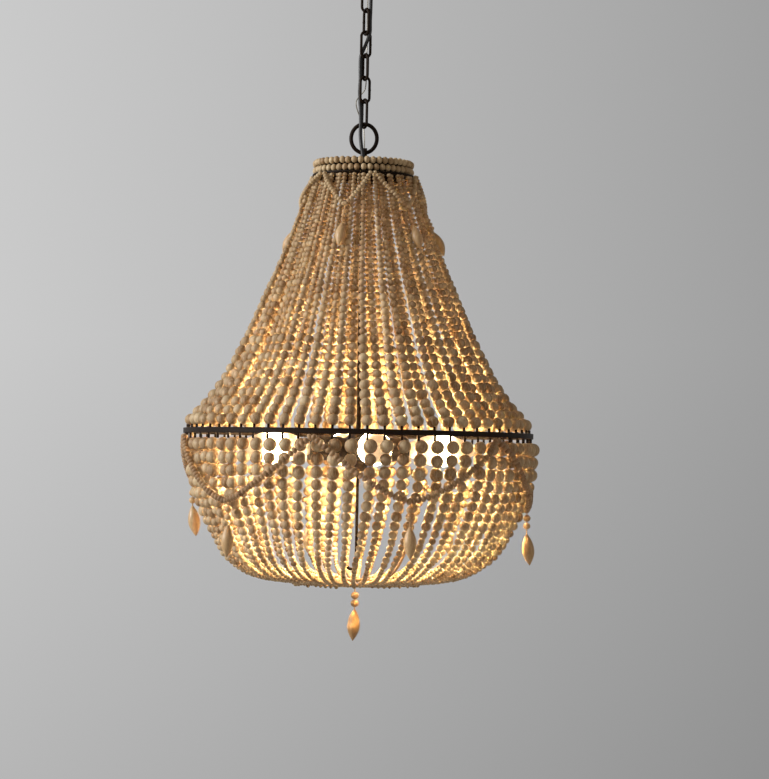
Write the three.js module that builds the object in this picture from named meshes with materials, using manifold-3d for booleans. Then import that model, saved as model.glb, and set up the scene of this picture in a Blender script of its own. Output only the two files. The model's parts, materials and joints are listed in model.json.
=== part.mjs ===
// A wooden bead chandelier on a chain, in millimetres, +Z up.
// The origin is the middle of the ceiling plate's top face, and everything hangs below it.
// X is across the front of the fixture and the viewer stands on the -Y side.
import * as THREE from 'three';
import { mergeVertices } from 'three/addons/utils/BufferGeometryUtils.js';
import Module from 'manifold-3d';

// Gaps between pieces that touch on the real object
const seatGap = 0.3;
const strandGap = 0.5;

// Ceiling fitting
const plate = {
  radius: 50, thickness: 2.5, screwHole: 2.6, screwSpread: 36, wireHole: 8, wireOffset: 30,
  strapWidth: 18, strapDrop: 14, strapGauge: 2.5, strapSpan: 36,
};
const nipple = { radius: 5, bore: 3.5, headRadius: 8, headHeight: 3 };
const cover = {
  radius: 59, height: 42, wall: 1.2, rimGap: 0.5, shoulderRadius: 50, shoulderDepth: 26,
  neckRadius: 25, neckRise: 3.4,
};
const collar = { radius: 11.5, height: 11, threadDepth: 7, cordBore: 3.2 };
const loop = { wire: 4, halfWidth: 9, leg: 6 };

// Chain, hanging ring and the knuckle that the ring passes through
const chain = { wire: 2.9, halfWidth: 5.45, pitch: 24.3, firstPitch: 27, count: 6, turnDegrees: 27 };
const ring = { wire: 4.2, halfWidth: 13.75, halfHeight: 15.4 };
const knuckle = {
  eyeClearance: 0.95, width: 7, depth: 9, bridge: 2.2, eyeRise: 9.6,
  flangeRadius: 13, flangeHeight: 4,
};

// Flexible supply cord and bare earth wire, woven through the chain
const cord = { diameter: 3.8, sides: 7, steps: 38 };
const earthWire = { diameter: 1.2, sides: 4, steps: 36 };

// Crown: a shallow cap, a nut under it and two rows of beads around it
const crown = {
  skirtRadius: 47.2, wall: 1.6, height: 16, flangeRadius: 54.2, flangeHeight: 1.4, edge: 1.2,
};
const crownNut = { radius: 7.5, height: 5 };
const bandBead = { diameter: 6.7, height: 7.5, rowPitch: 7.7, facets: 32 };

// The tent of bead strands, the equator hoop and the bowl of bead strands
const tentHeight = 289.4;
const hoop = { outerRadius: 185.6, thickness: 2.2, height: 5.6, facets: 44 };
const bottomHoop = { radius: 62, wire: 4, depth: 158 };
const strands = {
  perSide: 66, sectors: 6, pegRadius: 1.3, binding: 2.2, bindingMargin: 0.3, bindingGapDegrees: 0.3,
};
const tent = { topRadius: 52.6, footInset: 5.1, topBead: 2.1, footBead: 6.3 };
// The bowl's strands hang a little to the right of their pegs
const bowl = { topInset: 3, endBead: 2.4, topBead: 6.8, lean: 4.2 };
// Share of the way up from the hoop, of the spread from the crown, and of the bead size
const tentShares = [
  [0, 1, 0], [0.032, 0.977, 1], [0.15, 0.755, 0.9], [0.42, 0.46, 0.55], [0.72, 0.2, 0.2], [1, 0, 0],
];
// Share of the way down from the hoop, of the spread from the bottom hoop, of the bead size and of the lean
const bowlShares = [
  [0, 1, 0, 0], [0.065, 0.99, 1, 0.8], [0.36, 0.937, 0.8, 1], [0.74, 0.72, 0.38, 0.9], [0.9, 0.51, 0.2, 0.3],
  [0.975, 0.29, 0.1, 0.1], [1, 0, 0, 0],
];

// Three bent rods behind the strands carry the hoops
const rib = { diameter: 2.6, hoopGap: 0.7, hoopTuck: 4, strandFirst: 3, count: 3, sides: 4 };

// Lamp cluster on the stem
const stem = { radius: 2.5 };
const lampHub = { sides: 8, apothem: 12, height: 36, coneHeight: 9, centreBelowHoop: 16, headroom: 12 };
const lampholder = { radius: 13, backRadius: 10.4, length: 41, bore: 7.7, backWall: 9 };
const bulb = {
  capRadius: 7, capLength: 31, contactRadius: 4.2, contactLength: 2.8, glassRadius: 17.5, glassLength: 79,
};
// Share of the way along the glass, and of its greatest radius
const bulbShares = [[0.18, 0.6], [0.45, 1], [0.72, 0.86], [0.92, 0.46]];
const lamps = { count: 4, firstDegrees: 11 };

// Hook rod under the lamp hub and the drop that hangs on it
const hook = { radius: 1.6, length: 103, foot: 7, rise: 2.4, bendRise: 1.2 };
const finial = { string: 0.8, lead: 25.2, beadRadius: 4.4, beadCount: 2, radius: 6.6, length: 32.5 };
// Share of the way down a spindle, and of its greatest radius
const spindleShares = [[0.04, 0.35], [0.3, 0.86], [0.55, 1], [0.8, 0.66], [0.97, 0.22]];

// Zigzag garlands of small beads with a spindle drop under each point
const crownSwag = { bead: 4.4, pointBelowCrown: 53.5, tieBelowCrown: 18.6, restGap: 0.6 };
const crownSwagTieDegrees = [-45, 9, 70, 134, 184, 228];
const crownSwagPointDegrees = [-15.5, 43, 100, 160, 206, 251];
const bowlSwag = { bead: 6.6, tieBelowHoop: 5, restGap: 1.5 };
const bowlSwagTieDegrees = [-78, -14.6, 47, 121, 172, 226];
const bowlSwagPointDegrees = [-48.4, 15.5, 80, 147, 199, 257];
const bowlSwagPointDepths = [72, 69, 78, 74, 76, 56];
// Share of the way from tie to tie, and of the way down to the point
const crownSagShares = [
  [0, 0], [0.1, 0.21], [0.2, 0.41], [0.3, 0.61], [0.4, 0.81],
  [0.5, 1], [0.6, 0.81], [0.7, 0.61], [0.8, 0.41], [0.9, 0.21],
];
const bowlSagShares = [
  [0, 0], [0.1, 0.27], [0.2, 0.52], [0.3, 0.73], [0.4, 0.9],
  [0.5, 1], [0.6, 0.9], [0.7, 0.73], [0.8, 0.52], [0.9, 0.27],
];
const crownDrop = {
  string: 0.7, lead: 3, beadRadius: 2.6, beadCount: 3, radius: 5.3, length: 28, leanOver: 5,
};
const bowlDrop = {
  string: 0.7, lead: 5, beadRadius: 4.2, beadCount: 2, radius: 6.3, length: 32,
};

// Cord routes, point by point from the ceiling nipple down to the knuckle
const cordRoute = [
  [0, -0.9, -46], [0, -0.9, -54.5], [2.2, -1, -60.5], [5.8, -1.2, -67.2], [5.6, -1.6, -79],
  [5.2, -1.7, -91], [5.3, -1.8, -103], [5, -1.7, -114], [2.6, -0.9, -121], [0, 0, -127.4],
  [-2.6, 0.9, -133.6], [-5.1, 1.7, -140.5], [-5.4, 1.8, -152], [-5.1, 1.7, -164],
  [-5.6, 1.6, -176], [-5.2, 1.6, -187], [-4.4, -1, -197], [-4, -3.6, -206],
  [-3.9, -5.3, -214], [-3.9, -6, -226], [-2.6, -7.4, -238], [-1.2, -8.4, -245], [-1, -8.6, -252],
];
const earthRoute = [
  [0, 2.2, -46], [0, 2.2, -54.5], [0.6, 3.2, -60.5], [1.5, 3.7, -67], [1.2, 4, -79],
  [1.2, 3.9, -91], [1.2, 4.2, -103], [1.2, 3.9, -115], [1.3, 4.1, -127], [1.2, 3.9, -139.5],
  [1.2, 4.2, -152], [1.2, 3.9, -164], [0, 4.8, -175], [-4.5, 5.6, -181], [-8.2, 4.2, -186],
  [-9.2, 2.8, -191], [-7.8, 4.6, -197], [-5, 7, -204], [-1.5, 8, -213], [0.2, 7.2, -224],
  [0.6, 7.6, -238], [0.8, 8.4, -246], [0.8, 8.6, -252],
];
const cordPort = { x: -1, y: -8.6, radius: 2.4 };
const earthPort = { x: 0.8, y: 8.6, radius: 1.1 };

const cutOverrun = 1;

// Materials, one for each finish
const finish = (color, roughness, metalness) =>
  new THREE.MeshStandardMaterial({ color, roughness, metalness });
const blackSteel = finish(0x26221f, 0.55, 0.6);
const sandSteel = finish(0xb5966a, 0.6, 0);
const beadWood = finish(0xc9a678, 0.6, 0);
const dropWood = finish(0xb98d58, 0.55, 0);
const blackFlex = finish(0x1b1b1b, 0.7, 0);
const tinnedWire = finish(0xb9b4a6, 0.35, 0.9);
const blackPlastic = finish(0x1e1c1a, 0.5, 0);
const warmGlass = finish(0xffe2a8, 0.2, 0);

const model = new THREE.Group();
const fixture = new THREE.Group();
model.add(fixture);

const wasm = await Module();
wasm.setup();

// A closed mesh as a solid that can be joined and cut
function solidOf(geometry) {
  const bare = geometry.clone();
  bare.deleteAttribute('normal');
  bare.deleteAttribute('uv');
  const merged = mergeVertices(bare, 1e-4);
  return new wasm.Manifold(new wasm.Mesh({
    numProp: 3,
    vertProperties: merged.attributes.position.array,
    triVerts: new Uint32Array(merged.index.array),
  }));
}

function geometryOf(solid) {
  const mesh = solid.getMesh();
  const geometry = new THREE.BufferGeometry();
  geometry.setAttribute('position', new THREE.BufferAttribute(mesh.vertProperties, mesh.numProp));
  geometry.setIndex(new THREE.BufferAttribute(mesh.triVerts, 1));
  geometry.computeVertexNormals();
  return geometry;
}

const join = (geometries) =>
  geometryOf(geometries.map(solidOf).reduce((whole, piece) => whole.add(piece)));
const cut = (geometry, tools) =>
  geometryOf(tools.map(solidOf).reduce((left, tool) => left.subtract(tool), solidOf(geometry)));

function addPiece(parent, name, geometry, material) {
  const mesh = new THREE.Mesh(geometry, material);
  mesh.name = name;
  parent.add(mesh);
  return mesh;
}

// A profile of [radius, height] pairs, turned about Z
function turned(profile, segments, startAngle = 0) {
  const points = profile.map(([r, z]) => new THREE.Vector2(r, z));
  return new THREE.LatheGeometry(points, segments, startAngle).rotateX(Math.PI / 2);
}

const ringProfile = (profile) => [...profile, profile[0]];

function rod(radius, bottom, top, segments, x = 0, y = 0) {
  return turned([[0, bottom], [radius, bottom], [radius, top], [0, top]], segments).translate(x, y, 0);
}

// A round bar along a curve
function bar(curve, radius, sides, steps) {
  const section = new THREE.Shape();
  for (let side = 0; side < sides; side += 1) {
    const angle = 2 * Math.PI * side / sides;
    const place = [radius * Math.cos(angle), radius * Math.sin(angle)];
    if (side === 0) section.moveTo(...place);
    else section.lineTo(...place);
  }
  return new THREE.ExtrudeGeometry(section, { steps, bevelEnabled: false, extrudePath: curve });
}

const curveThrough = (points, closed = false) =>
  new THREE.CatmullRomCurve3(points.map((p) => new THREE.Vector3(...p)), closed, 'centripetal');

// A point from its azimuth, counted from the front towards +X, its radius and its height
function around(degrees, radius, z) {
  const angle = THREE.MathUtils.degToRad(degrees);
  return [radius * Math.sin(angle), -radius * Math.cos(angle), z];
}

// A slim body lofted through its stations, each a place around Z with half its thickness there;
// shift moves a place along X, one corner of every section points away from Z, and square fixes an end's direction
function lofted(stations, sides, closed = false) {
  const places = stations.map(({ degrees, radius, z, shift = 0 }) =>
    new THREE.Vector3(...around(degrees, radius, z)).add(new THREE.Vector3(shift, 0, 0)));
  const count = stations.length;
  const spots = [];
  stations.forEach(({ degrees, half, square }, index) => {
    const before = closed ? (index + count - 1) % count : Math.max(index - 1, 0);
    const after = closed ? (index + 1) % count : Math.min(index + 1, count - 1);
    const along = square
      ? new THREE.Vector3(...around(degrees, square[0], square[1]))
      : places[after].clone().sub(places[before]).normalize();
    const across = along.clone().cross(new THREE.Vector3(...around(degrees, 1, 0))).normalize();
    if (across.lengthSq() < 0.5) across.set(...around(degrees + 90, 1, 0));
    const out = across.clone().cross(along);
    for (let side = 0; side < sides; side += 1) {
      const angle = 2 * Math.PI * side / sides;
      const spot = places[index].clone()
        .addScaledVector(out, half * Math.cos(angle)).addScaledVector(across, half * Math.sin(angle));
      spots.push(...spot.toArray());
    }
  });
  const faces = [];
  const rows = closed ? count : count - 1;
  for (let row = 0; row < rows; row += 1) {
    const next = (row + 1) % count * sides;
    for (let side = 0; side < sides; side += 1) {
      const beside = (side + 1) % sides;
      faces.push(row * sides + side, row * sides + beside, next + beside);
      faces.push(row * sides + side, next + beside, next + side);
    }
  }
  const last = (count - 1) * sides;
  for (let side = 1; side < sides - 1 && !closed; side += 1) {
    faces.push(0, side + 1, side, last, last + side, last + side + 1);
  }
  const geometry = new THREE.BufferGeometry();
  geometry.setAttribute('position', new THREE.Float32BufferAttribute(spots, 3));
  geometry.setIndex(faces);
  return geometry;
}

// A curved strip around Z between two radii and two heights
function strip(inner, outer, bottom, height, firstDegrees, lastDegrees) {
  const [from, to] = [firstDegrees - 90, lastDegrees - 90].map(THREE.MathUtils.degToRad);
  const shape = new THREE.Shape().absarc(0, 0, outer, from, to, false).absarc(0, 0, inner, to, from, true);
  return new THREE.ExtrudeGeometry(shape, { depth: height, bevelEnabled: false, curveSegments: 6 })
    .translate(0, 0, bottom);
}

// Heights, worked down from the ceiling
const strapBottomZ = -plate.thickness - plate.strapDrop;
const strapTopZ = strapBottomZ + plate.strapGauge;
const coverTopZ = -cover.rimGap;
const coverBottomZ = coverTopZ - cover.height;
const collarTopZ = coverBottomZ - seatGap;
const collarBottomZ = collarTopZ - collar.height;
const loopArcZ = collarBottomZ - loop.leg;
const loopWireZ = loopArcZ - loop.halfWidth;

// Ceiling plate with a welded strap, whose bar takes the threaded nipple
const plateDisc = rod(plate.radius, -plate.thickness, 0, 24);
const strapBar = new THREE.BoxGeometry(plate.strapSpan, plate.strapWidth, plate.strapGauge)
  .translate(0, 0, (strapTopZ + strapBottomZ) / 2);
const strapLegs = [-1, 1].map((side) => new THREE.BoxGeometry(
  plate.strapGauge, plate.strapWidth, plate.strapDrop + plate.thickness / 2,
).translate(
  side * (plate.strapSpan - plate.strapGauge) / 2, 0,
  strapBottomZ + (plate.strapDrop + plate.thickness / 2) / 2,
));
const plateHoles = [
  rod(plate.screwHole, -plate.thickness - cutOverrun, cutOverrun, 8, plate.screwSpread),
  rod(plate.screwHole, -plate.thickness - cutOverrun, cutOverrun, 8, -plate.screwSpread),
  rod(plate.wireHole, -plate.thickness - cutOverrun, cutOverrun, 12, 0, plate.wireOffset),
  rod(nipple.radius + seatGap, strapBottomZ - cutOverrun, strapTopZ + cutOverrun, 12),
];
addPiece(model, 'ceiling_plate', cut(join([plateDisc, strapBar, ...strapLegs]), plateHoles), blackSteel);

const nippleBottomZ = collarTopZ - collar.threadDepth + seatGap;
const nippleHeadZ = strapTopZ + seatGap;
addPiece(model, 'threaded_nipple', turned(ringProfile([
  [nipple.bore, nippleBottomZ], [nipple.radius, nippleBottomZ], [nipple.radius, nippleHeadZ],
  [nipple.headRadius, nippleHeadZ], [nipple.headRadius, nippleHeadZ + nipple.headHeight],
  [nipple.bore, nippleHeadZ + nipple.headHeight],
]), 12), blackSteel);

// Spun canopy: a wall, a rounded shoulder and a flat end with a hole for the nipple
const coverHole = nipple.radius + seatGap;
const shoulderZ = coverTopZ - cover.shoulderDepth;
const neckZ = coverBottomZ + cover.neckRise;
addPiece(model, 'canopy_cover', turned(ringProfile([
  [cover.radius, coverTopZ], [cover.radius - cover.wall, coverTopZ],
  [cover.shoulderRadius - cover.wall, shoulderZ], [cover.neckRadius - cover.wall, neckZ + cover.wall],
  [coverHole, coverBottomZ + cover.wall], [coverHole, coverBottomZ],
  [cover.neckRadius, neckZ - cover.wall], [cover.shoulderRadius, shoulderZ - cover.wall],
]), 24), blackSteel);

// Screw collar with a welded bail; the cord passes down its bore between the bail's legs
const turn = THREE.MathUtils.degToRad(chain.turnDegrees);
const collarBody = turned(ringProfile([
  [collar.radius, collarTopZ], [nipple.radius + seatGap, collarTopZ],
  [nipple.radius + seatGap, collarTopZ - collar.threadDepth],
  [collar.cordBore, collarTopZ - collar.threadDepth], [collar.cordBore, collarBottomZ],
  [collar.radius, collarBottomZ],
]), 16);
const bailPath = new THREE.CurvePath();
const bailTop = collarBottomZ + loop.wire / 2;
const bailPoints = [[-loop.halfWidth, bailTop], [-loop.halfWidth, loopArcZ]];
const bailArcSteps = 8;
for (let step = 1; step < bailArcSteps; step += 1) {
  const angle = Math.PI + Math.PI * step / bailArcSteps;
  bailPoints.push([loop.halfWidth * Math.cos(angle), loopArcZ + loop.halfWidth * Math.sin(angle)]);
}
bailPoints.push([loop.halfWidth, loopArcZ], [loop.halfWidth, bailTop]);
bailPoints.slice(1).forEach(([x, z], index) => bailPath.add(new THREE.LineCurve3(
  new THREE.Vector3(bailPoints[index][0], 0, bailPoints[index][1]), new THREE.Vector3(x, 0, z),
)));
const bail = bar(bailPath, loop.wire / 2, 6, 14).rotateZ(turn + Math.PI / 2);
addPiece(model, 'canopy_loop', join([collarBody, bail]), blackSteel);

// A chain link is a ring pulled out straight along its two sides
function linkGeometry(pitch) {
  const straight = pitch + chain.wire + seatGap - 2 * chain.halfWidth;
  const turns = 12;
  const link = new THREE.TorusGeometry(chain.halfWidth, chain.wire / 2, 6, turns)
    .rotateZ(Math.PI / turns).rotateX(Math.PI / 2);
  const place = link.attributes.position;
  for (let i = 0; i < place.count; i += 1) {
    place.setZ(i, place.getZ(i) + Math.sign(place.getZ(i)) * straight / 2);
  }
  return link;
}

let hangZ = loopWireZ + (loop.wire + chain.wire) / 2 + seatGap;
for (let number = chain.count; number >= 1; number -= 1) {
  const pitch = number === 1 ? chain.firstPitch : chain.pitch;
  const height = pitch + chain.wire + seatGap;
  const link = addPiece(model, `chain_link_${number}`, linkGeometry(pitch), blackSteel);
  link.position.z = hangZ - height / 2;
  link.rotation.z = turn + (number % 2) * Math.PI / 2;
  hangZ += chain.wire + seatGap - height;
}
const lastLinkZ = hangZ - chain.wire - seatGap;

const ringTopZ = lastLinkZ + (chain.wire + ring.wire) / 2 + seatGap;
const ringBottomZ = ringTopZ - 2 * ring.halfHeight;
const ringBody = new THREE.TorusGeometry(ring.halfWidth, ring.wire / 2, 6, 18).rotateX(Math.PI / 2);
const ringPlace = ringBody.attributes.position;
for (let i = 0; i < ringPlace.count; i += 1) {
  const reach = Math.hypot(ringPlace.getX(i), ringPlace.getZ(i));
  const lift = (ring.halfHeight - ring.halfWidth) * ringPlace.getZ(i) / reach;
  ringPlace.setZ(i, ringPlace.getZ(i) + lift);
}
addPiece(model, 'hanging_ring', ringBody.translate(0, 0, (ringTopZ + ringBottomZ) / 2), blackSteel);

// Knuckle: a flange and an upright block whose eye holds the ring
const crownTopZ = ringBottomZ - knuckle.eyeRise - seatGap;
const flangeBottomZ = ringBottomZ - knuckle.eyeRise;
const flangeTopZ = flangeBottomZ + knuckle.flangeHeight;
const eyeRadius = ring.wire / 2 + knuckle.eyeClearance;
const blockTopZ = ringBottomZ + eyeRadius + knuckle.bridge;
const block = new THREE.BoxGeometry(knuckle.width, knuckle.depth, blockTopZ - flangeBottomZ - cutOverrun)
  .translate(0, 0, (blockTopZ + flangeBottomZ + cutOverrun) / 2);
const eye = rod(eyeRadius, -knuckle.width, knuckle.width, 12).rotateY(Math.PI / 2)
  .translate(0, 0, ringBottomZ);
const stemTopZ = flangeTopZ - cutOverrun - seatGap;
addPiece(model, 'ring_knuckle', cut(
  join([rod(knuckle.flangeRadius, flangeBottomZ, flangeTopZ, 16), block]),
  [
    eye,
    rod(cordPort.radius, flangeBottomZ - cutOverrun, flangeTopZ + cutOverrun, 8, cordPort.x, cordPort.y),
    rod(earthPort.radius, flangeBottomZ - cutOverrun, flangeTopZ + cutOverrun, 6, earthPort.x, earthPort.y),
    rod(stem.radius + seatGap, flangeBottomZ - cutOverrun, stemTopZ + seatGap, 12),
  ],
), blackSteel);

addPiece(model, 'supply_cord', bar(curveThrough(cordRoute), cord.diameter / 2, cord.sides, cord.steps), blackFlex);
addPiece(
  model, 'earth_wire',
  bar(curveThrough(earthRoute), earthWire.diameter / 2, earthWire.sides, earthWire.steps), tinnedWire,
);

// Crown cap: disc, skirt and the flange that the bead rows stand on
fixture.position.z = crownTopZ - tentHeight;
const capTop = tentHeight;
const flangeZ = capTop - crown.height;
addPiece(fixture, 'crown_cap', turned(ringProfile([
  [stem.radius + seatGap, capTop], [stem.radius + seatGap, capTop - crown.wall],
  [crown.skirtRadius - crown.wall, capTop - crown.wall - crown.edge],
  [crown.skirtRadius - crown.wall, flangeZ], [crown.flangeRadius, flangeZ],
  [crown.flangeRadius, flangeZ + crown.flangeHeight], [crown.skirtRadius, flangeZ + crown.flangeHeight],
  [crown.skirtRadius, capTop - crown.edge], [crown.skirtRadius - crown.edge, capTop],
]), 24), blackSteel);

const nutTop = capTop - crown.wall - seatGap;
const nutBore = (stem.radius + seatGap) / Math.cos(Math.PI / 6);
addPiece(fixture, 'crown_nut', turned(ringProfile([
  [nutBore, nutTop - crownNut.height], [crownNut.radius, nutTop - crownNut.height],
  [crownNut.radius, nutTop], [nutBore, nutTop],
]), 6), blackSteel);

// Two rows of beads stand on the flange, side by side around the skirt
const bandInner = crown.skirtRadius + seatGap;
const bandReach = bandInner + bandBead.diameter;
const bandRise = bandBead.height / 2;
const lowRowZ = flangeZ + crown.flangeHeight + seatGap + bandRise;
const highRowZ = lowRowZ + bandBead.rowPitch;
const bandHalf = bandBead.diameter / 2;
addPiece(fixture, 'band_beads', turned(ringProfile([
  [bandInner, lowRowZ - bandRise], [bandInner + bandHalf, lowRowZ - bandRise], [bandReach, lowRowZ],
  [bandReach - bandHalf / 2, (lowRowZ + highRowZ) / 2], [bandReach, highRowZ],
  [bandInner + bandHalf, highRowZ + bandRise], [bandInner, highRowZ + bandRise],
]), bandBead.facets), beadWood);

// Hoops
addPiece(fixture, 'equator_hoop', turned(ringProfile([
  [hoop.outerRadius - hoop.thickness, -hoop.height / 2], [hoop.outerRadius, -hoop.height / 2],
  [hoop.outerRadius, hoop.height / 2], [hoop.outerRadius - hoop.thickness, hoop.height / 2],
]), hoop.facets), blackSteel);
addPiece(fixture, 'bottom_hoop', new THREE.TorusGeometry(bottomHoop.radius, bottomHoop.wire / 2, 5, 28)
  .translate(0, 0, -bottomHoop.depth), sandSteel);

// Strand stations from the share tables
const tentFoot = hoop.height / 2 + seatGap;
const tentHead = flangeZ - seatGap - strands.binding / 2;
const tentFootRadius = hoop.outerRadius - tent.footInset;
const tentStations = tentShares.map(([up, spread, size], index) => ({
  radius: tent.topRadius + spread * (tentFootRadius - tent.topRadius),
  z: tentFoot + up * (tentHead - tentFoot),
  half: index === 0 ? strands.pegRadius : tent.topBead + size * (tent.footBead - tent.topBead),
  shift: 0,
}));
tentStations[0].square = [0, 1];
tentStations[tentStations.length - 1].square = [0, 1];
const tentEnd = tentStations[tentStations.length - 1];
const bowlHead = -hoop.height / 2 - seatGap;
const bowlEndRadius = bottomHoop.radius + (bottomHoop.wire + strands.binding) / 2 + seatGap;
const bowlTopRadius = hoop.outerRadius - bowl.topInset;
const bowlStations = bowlShares.map(([down, spread, size, lean], index) => ({
  radius: bowlEndRadius + spread * (bowlTopRadius - bowlEndRadius),
  z: bowlHead - down * (bottomHoop.depth + bowlHead),
  half: index === 0 ? strands.pegRadius : bowl.endBead + size * (bowl.topBead - bowl.endBead),
  shift: lean * bowl.lean,
}));
bowlStations[0].square = [0, -1];
bowlStations[bowlStations.length - 1].square = [-1, 0];
const bowlEnd = bowlStations[bowlStations.length - 1];

// Strands in sectors, each bound by a curved strip: under the crown, or round the bottom hoop
const strandDegrees = (index) => (index + 0.5) * 360 / strands.perSide;
const perSector = strands.perSide / strands.sectors;
const strandStep = 360 / strands.perSide;
function addSector(name, sector, stations, binding) {
  const pieces = [];
  for (let strand = 0; strand < perSector; strand += 1) {
    const degrees = strandDegrees(sector * perSector + strand);
    pieces.push(lofted(stations.map((station) => ({ ...station, degrees })), 3));
  }
  const first = sector * perSector * strandStep + strands.bindingGapDegrees;
  const last = (sector + 1) * perSector * strandStep - strands.bindingGapDegrees;
  pieces.push(strip(...binding, first, last));
  addPiece(fixture, `${name}_${sector + 1}`, join(pieces), beadWood);
}
const tentBindingHalf = tent.topBead + strands.bindingMargin;
const bowlBindingHalf = bowl.endBead + strands.bindingMargin;
for (let sector = 0; sector < strands.sectors; sector += 1) {
  addSector('upper_strands', sector, tentStations, [
    tentEnd.radius - tentBindingHalf, tentEnd.radius + tentBindingHalf,
    tentEnd.z - strands.binding / 2, strands.binding,
  ]);
  addSector('lower_strands', sector, bowlStations, [
    bowlEnd.radius - strands.binding / 2, bowlEnd.radius + strands.binding / 2,
    bowlEnd.z - bowlBindingHalf, 2 * bowlBindingHalf,
  ]);
}

// A place on a strand at a height, by straight steps between its stations
function stationAt(stations, z) {
  for (let index = 1; index < stations.length; index += 1) {
    const a = stations[index - 1];
    const b = stations[index];
    if ((z - a.z) * (z - b.z) <= 0) {
      const share = (z - a.z) / (b.z - a.z);
      const between = (name) => a[name] + share * (b[name] - a[name]);
      return { radius: between('radius'), half: between('half'), shift: between('shift') };
    }
  }
  return stations[stations.length - 1];
}

// The place of something that rests on the strands at a height
function restingOn(stations, z, reach) {
  const { radius, half, shift } = stationAt(stations, z);
  return { radius: radius + half + reach, shift };
}

// Ribs run just inside the strands, from the crown's skirt past the hoop to the bottom hoop
const ribRadius = rib.diameter / 2;
function inside(stations, index) {
  const before = stations[index - 1];
  const here = stations[index];
  const after = stations[index + 1];
  const along = new THREE.Vector2(after.radius - before.radius, after.z - before.z).normalize();
  const offset = here.half + ribRadius + strandGap;
  const side = stations === tentStations ? 1 : -1;
  return [here.radius - side * offset * along.y, here.z + side * offset * along.x, here.shift];
}
const ribTop = [crown.skirtRadius - crown.wall - seatGap - ribRadius, flangeZ + crown.height / 2];
const ribHoop = [hoop.outerRadius - hoop.thickness - rib.hoopGap - ribRadius, 0];
const ribFoot = [bottomHoop.radius, -bottomHoop.depth + bottomHoop.wire / 2 + seatGap + ribRadius];
const tentInside = tentStations.slice(1, -1).map((_, index) => inside(tentStations, index + 1)).reverse();
const bowlInside = bowlStations.slice(1, -1).map((_, index) => inside(bowlStations, index + 1));
const ribHead = [ribTop[0], flangeZ - rib.hoopTuck];
const ribRoute = [ribTop, ribHead, ...tentInside, ribHoop, ...bowlInside, ribFoot];
for (let number = 0; number < rib.count; number += 1) {
  const degrees = strandDegrees(rib.strandFirst + number * strands.perSide / rib.count);
  const ribStations = ribRoute.map(([radius, z, shift]) => ({ degrees, radius, z, shift, half: ribRadius }));
  addPiece(fixture, `frame_rib_${number + 1}`, lofted(ribStations, rib.sides), sandSteel);
}

// Stem, lamp hub, holders and bulbs
const hubTop = -lampHub.centreBelowHoop + lampHub.headroom;
const hubBottom = hubTop - lampHub.height;
const halfFace = Math.PI / lampHub.sides;
const hubCorner = lampHub.apothem / Math.cos(halfFace);
const stemBottom = hubTop;
const stemTop = stemTopZ - fixture.position.z;
addPiece(fixture, 'stem', rod(stem.radius, stemBottom, stemTop, 10), blackSteel);
const lampTurn = THREE.MathUtils.degToRad(lamps.firstDegrees);
const hubBore = (stem.radius + seatGap) / Math.cos(halfFace);
addPiece(fixture, 'lamp_hub', turned([
  [0, hubBottom], [hubCorner / 2, hubBottom], [hubCorner, hubBottom + lampHub.coneHeight],
  [hubCorner, hubTop], [hubBore + seatGap, hubTop + lampHub.coneHeight],
  [hubBore, hubTop + lampHub.coneHeight], [hubBore, hubTop - seatGap], [0, hubTop - seatGap],
], lampHub.sides, halfFace).rotateZ(lampTurn), blackPlastic);

const holderStart = lampHub.apothem + seatGap;
const bulbStart = holderStart + lampholder.backWall + seatGap;
const bulbGlassStart = bulbStart + bulb.capLength;
const bulbProfile = [
  [0, bulbStart], [bulb.contactRadius, bulbStart], [bulb.capRadius, bulbStart + bulb.contactLength],
  [bulb.capRadius, bulbGlassStart],
  ...bulbShares.map(([far, wide]) => [bulb.glassRadius * wide, bulbGlassStart + bulb.glassLength * far]),
  [0, bulbGlassStart + bulb.glassLength],
];
const holderProfile = [
  [0, holderStart], [lampholder.backRadius, holderStart],
  [lampholder.radius, holderStart + lampholder.backWall], [lampholder.radius, holderStart + lampholder.length],
  [lampholder.bore, holderStart + lampholder.length], [lampholder.bore, holderStart + lampholder.backWall],
  [0, holderStart + lampholder.backWall],
];
for (let number = 0; number < lamps.count; number += 1) {
  const degrees = lamps.firstDegrees + number * 360 / lamps.count;
  const lay = (geometry) => geometry.rotateX(Math.PI / 2)
    .rotateZ(THREE.MathUtils.degToRad(degrees)).translate(0, 0, -lampHub.centreBelowHoop);
  addPiece(fixture, `lampholder_${number + 1}`, lay(turned(holderProfile, 10)), blackPlastic);
  addPiece(fixture, `bulb_${number + 1}`, lay(turned(bulbProfile, 10)), warmGlass);
}

// Hook rod: down from the hub, with its foot bent to the left and up
const hookTop = hubBottom - seatGap;
const hookBottom = hookTop - hook.length;
const hookPath = curveThrough([
  [0, 0, hookTop], [0, 0, (hookTop + hookBottom) / 2], [0, 0, hookBottom + hook.rise * 2],
  [0, 0, hookBottom + hook.rise], [-hook.rise, 0, hookBottom], [-hook.foot, 0, hookBottom],
  [-hook.foot - hook.rise, 0, hookBottom + hook.rise],
]);
addPiece(fixture, 'hook_rod', bar(hookPath, hook.radius, 6, 16), blackSteel);

// A hanging drop: a string with beads on it and a spindle at its end, from z = 0 down
function dropProfile({ string, lead, beadRadius, beadCount, radius, length }) {
  const profile = [[0, 0], [string, 0], [string, -lead]];
  let z = -lead;
  for (let bead = 0; bead < beadCount; bead += 1) {
    profile.push([string, z], [beadRadius, z - beadRadius], [string, z - 2 * beadRadius]);
    z -= 2 * beadRadius;
  }
  spindleShares.forEach(([down, wide]) => profile.push([radius * wide, z - length * down]));
  profile.push([0, z - length]);
  return profile.filter(([r, h], index) =>
    index === 0 || r !== profile[index - 1][0] || h !== profile[index - 1][1]).reverse();
}

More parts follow.
